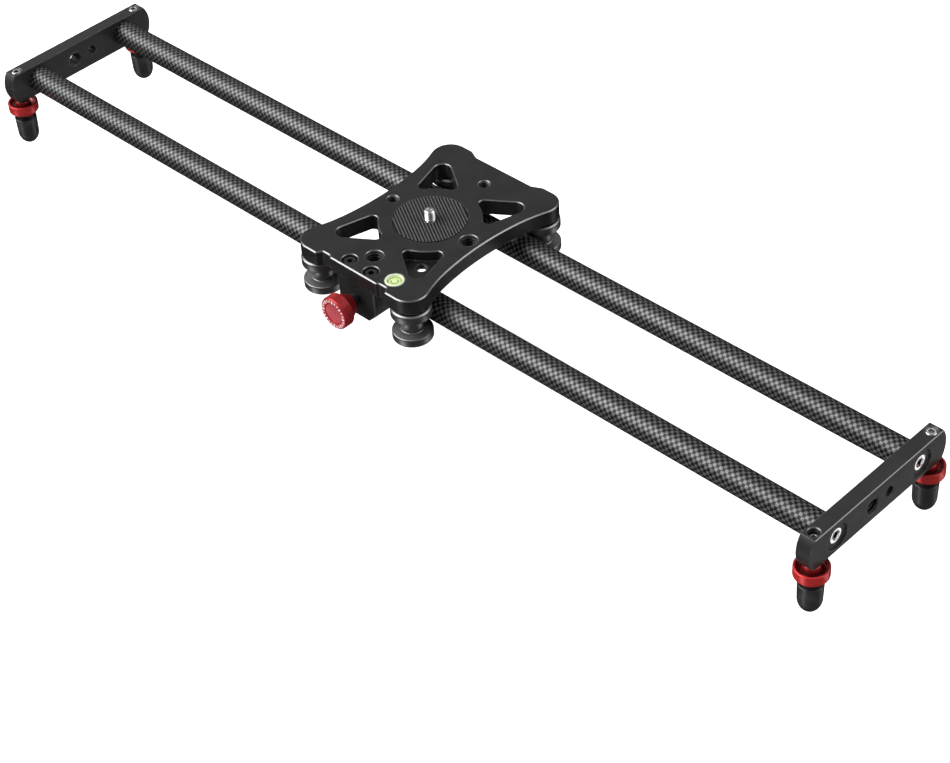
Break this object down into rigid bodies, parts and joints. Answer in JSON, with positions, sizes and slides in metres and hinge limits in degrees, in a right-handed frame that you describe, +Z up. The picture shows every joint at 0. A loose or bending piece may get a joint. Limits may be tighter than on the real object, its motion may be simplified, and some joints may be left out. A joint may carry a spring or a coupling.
{
  "type": "camera slider",
  "caption": "Twin-tube camera slider: end blocks on screw-down rubber feet, and a drilled carriage plate with a camera screw, bubble level and knob brake, running on grooved rollers.",
  "frame": {"origin": "on the camera screw's axis, at the top of the ribbed pad it stands in, with the carriage where the picture shows it, a little right of the rails' middle", "axes": "+X along the rails, towards the end nearest the viewer; +Z up; -Y the side with the brake knob and the level"},
  "size_m": [0.6092, 0.1328, 0.0676],
  "materials": {
    "block_black": "black anodised, fine satin grain",
    "plate_black": "black anodised, fine satin grain, bright chamfered edges",
    "carbon_weave": "clear-coated carbon fibre weave",
    "plain_aluminium": "plain turned",
    "screw_chrome": "bright plated",
    "screw_black": "black oxide",
    "pad_rubber": "ribbed, matte",
    "level_white": "pale translucent rim",
    "level_lime": "clear yellow-green liquid",
    "level_clear": "clear window with ring lines",
    "level_air": "air bubble",
    "bearing_steel": "ground bearing steel",
    "shoe_plastic": "pale nylon",
    "knob_red": "red anodised, satin",
    "roller_grey": "dark grey anodised, turned, brighter rims",
    "foot_rubber": "satin black rubber",
    "core_black": "black oxide",
    "stud_steel": "bright plated"
  },
  "bodies": {
    "frame": {"end_block_left": "block_black", "end_block_right": "block_black", "rail_front": "carbon_weave", "rail_rear": "carbon_weave", "rail_plugs": "plain_aluminium", "rail_screws": "screw_chrome"},
    "carriage": {"carriage_plate": "plate_black", "friction_pad": "pad_rubber", "camera_screw": "screw_chrome", "level_case": "level_white", "level_liquid": "level_lime", "level_bubble": "level_air", "level_lens": "level_clear", "brake_bracket": "plate_black", "bracket_screws": "screw_black", "axle_bolts": "screw_black", "axle_washers": "plain_aluminium", "axle_sleeves": "plain_aluminium", "bearing_inner_rings": "bearing_steel", "bearing_balls": "bearing_steel"},
    "brake_pad": {"brake_pad": "shoe_plastic"},
    "brake_knob": {"brake_screw": "screw_black", "brake_knob": "knob_red"},
    "roller_front_left": {"roller_front_left": "roller_grey", "outer_rings_front_left": "bearing_steel"},
    "roller_front_right": {"roller_front_right": "roller_grey", "outer_rings_front_right": "bearing_steel"},
    "roller_rear_left": {"roller_rear_left": "roller_grey", "outer_rings_rear_left": "bearing_steel"},
    "roller_rear_right": {"roller_rear_right": "roller_grey", "outer_rings_rear_right": "bearing_steel"},
    "foot_front_left": {"foot_front_left": "foot_rubber", "foot_core_front_left": "core_black"},
    "leg_knob_front_left": {"leg_knob_front_left": "knob_red", "leg_stud_front_left": "stud_steel"},
    "foot_front_right": {"foot_front_right": "foot_rubber", "foot_core_front_right": "core_black"},
    "leg_knob_front_right": {"leg_knob_front_right": "knob_red", "leg_stud_front_right": "stud_steel"},
    "foot_rear_left": {"foot_rear_left": "foot_rubber", "foot_core_rear_left": "core_black"},
    "leg_knob_rear_left": {"leg_knob_rear_left": "knob_red", "leg_stud_rear_left": "stud_steel"},
    "foot_rear_right": {"foot_rear_right": "foot_rubber", "foot_core_rear_right": "core_black"},
    "leg_knob_rear_right": {"leg_knob_rear_right": "knob_red", "leg_stud_rear_right": "stud_steel"}
  },
  "joints": [
    {"name": "carriage_slide", "type": "slide", "parent": "frame", "child": "carriage", "axis": [1, 0, 0], "range_m": [-0.2541, 0.2399]},
    {"name": "roller_front_left_turn", "type": "hinge", "parent": "carriage", "child": "roller_front_left", "pos_m": [-0.0335, -0.0488, -0.021], "axis": [0, 0, 1], "continuous": true},
    {"name": "roller_front_right_turn", "type": "hinge", "parent": "carriage", "child": "roller_front_right", "pos_m": [0.0335, -0.0488, -0.021], "axis": [0, 0, 1], "continuous": true},
    {"name": "roller_rear_left_turn", "type": "hinge", "parent": "carriage", "child": "roller_rear_left", "pos_m": [-0.0335, 0.0488, -0.021], "axis": [0, 0, 1], "continuous": true},
    {"name": "roller_rear_right_turn", "type": "hinge", "parent": "carriage", "child": "roller_rear_right", "pos_m": [0.0335, 0.0488, -0.021], "axis": [0, 0, 1], "continuous": true},
    {"name": "leg_front_left_slide", "type": "slide", "parent": "frame", "child": "foot_front_left", "axis": [0, 0, -1], "range_m": [0, 0.008]},
    {"name": "leg_front_left_turn", "type": "hinge", "parent": "foot_front_left", "child": "leg_knob_front_left", "pos_m": [-0.30285, -0.045, -0.035], "axis": [0, 0, -1], "range_deg": [0, 2882]},
    {"name": "leg_front_right_slide", "type": "slide", "parent": "frame", "child": "foot_front_right", "axis": [0, 0, -1], "range_m": [0, 0.008]},
    {"name": "leg_front_right_turn", "type": "hinge", "parent": "foot_front_right", "child": "leg_knob_front_right", "pos_m": [0.28865, -0.045, -0.035], "axis": [0, 0, -1], "range_deg": [0, 2882]},
    {"name": "leg_rear_left_slide", "type": "slide", "parent": "frame", "child": "foot_rear_left", "axis": [0, 0, -1], "range_m": [0, 0.008]},
    {"name": "leg_rear_left_turn", "type": "hinge", "parent": "foot_rear_left", "child": "leg_knob_rear_left", "pos_m": [-0.30285, 0.045, -0.035], "axis": [0, 0, -1], "range_deg": [0, 2882]},
    {"name": "leg_rear_right_slide", "type": "slide", "parent": "frame", "child": "foot_rear_right", "axis": [0, 0, -1], "range_m": [0, 0.008]},
    {"name": "leg_rear_right_turn", "type": "hinge", "parent": "foot_rear_right", "child": "leg_knob_rear_right", "pos_m": [0.28865, 0.045, -0.035], "axis": [0, 0, -1], "range_deg": [0, 2882]},
    {"name": "brake_pad_slide", "type": "slide", "parent": "carriage", "child": "brake_pad", "axis": [0, 1, 0], "range_m": [-0.0008, 0.00058]},
    {"name": "brake_knob_turn", "type": "hinge", "parent": "brake_pad", "child": "brake_knob", "pos_m": [0, -0.065, -0.0197], "axis": [0, 1, 0], "range_deg": [-361, 262]}
  ],
  "couplings": [
    {"joint": "roller_front_left_turn", "follows": "carriage_slide", "rad_per_m": 92.99},
    {"joint": "roller_front_right_turn", "follows": "carriage_slide", "rad_per_m": 92.99},
    {"joint": "roller_rear_left_turn", "follows": "carriage_slide", "rad_per_m": -92.99},
    {"joint": "roller_rear_right_turn", "follows": "carriage_slide", "rad_per_m": -92.99},
    {"joint": "leg_front_left_turn", "follows": "leg_front_left_slide", "rad_per_m": 6283.2},
    {"joint": "leg_front_right_turn", "follows": "leg_front_right_slide", "rad_per_m": 6283.2},
    {"joint": "leg_rear_left_turn", "follows": "leg_rear_left_slide", "rad_per_m": 6283.2},
    {"joint": "leg_rear_right_turn", "follows": "leg_rear_right_slide", "rad_per_m": 6283.2},
    {"joint": "brake_knob_turn", "follows": "brake_pad_slide", "rad_per_m": 7854}
  ]
}
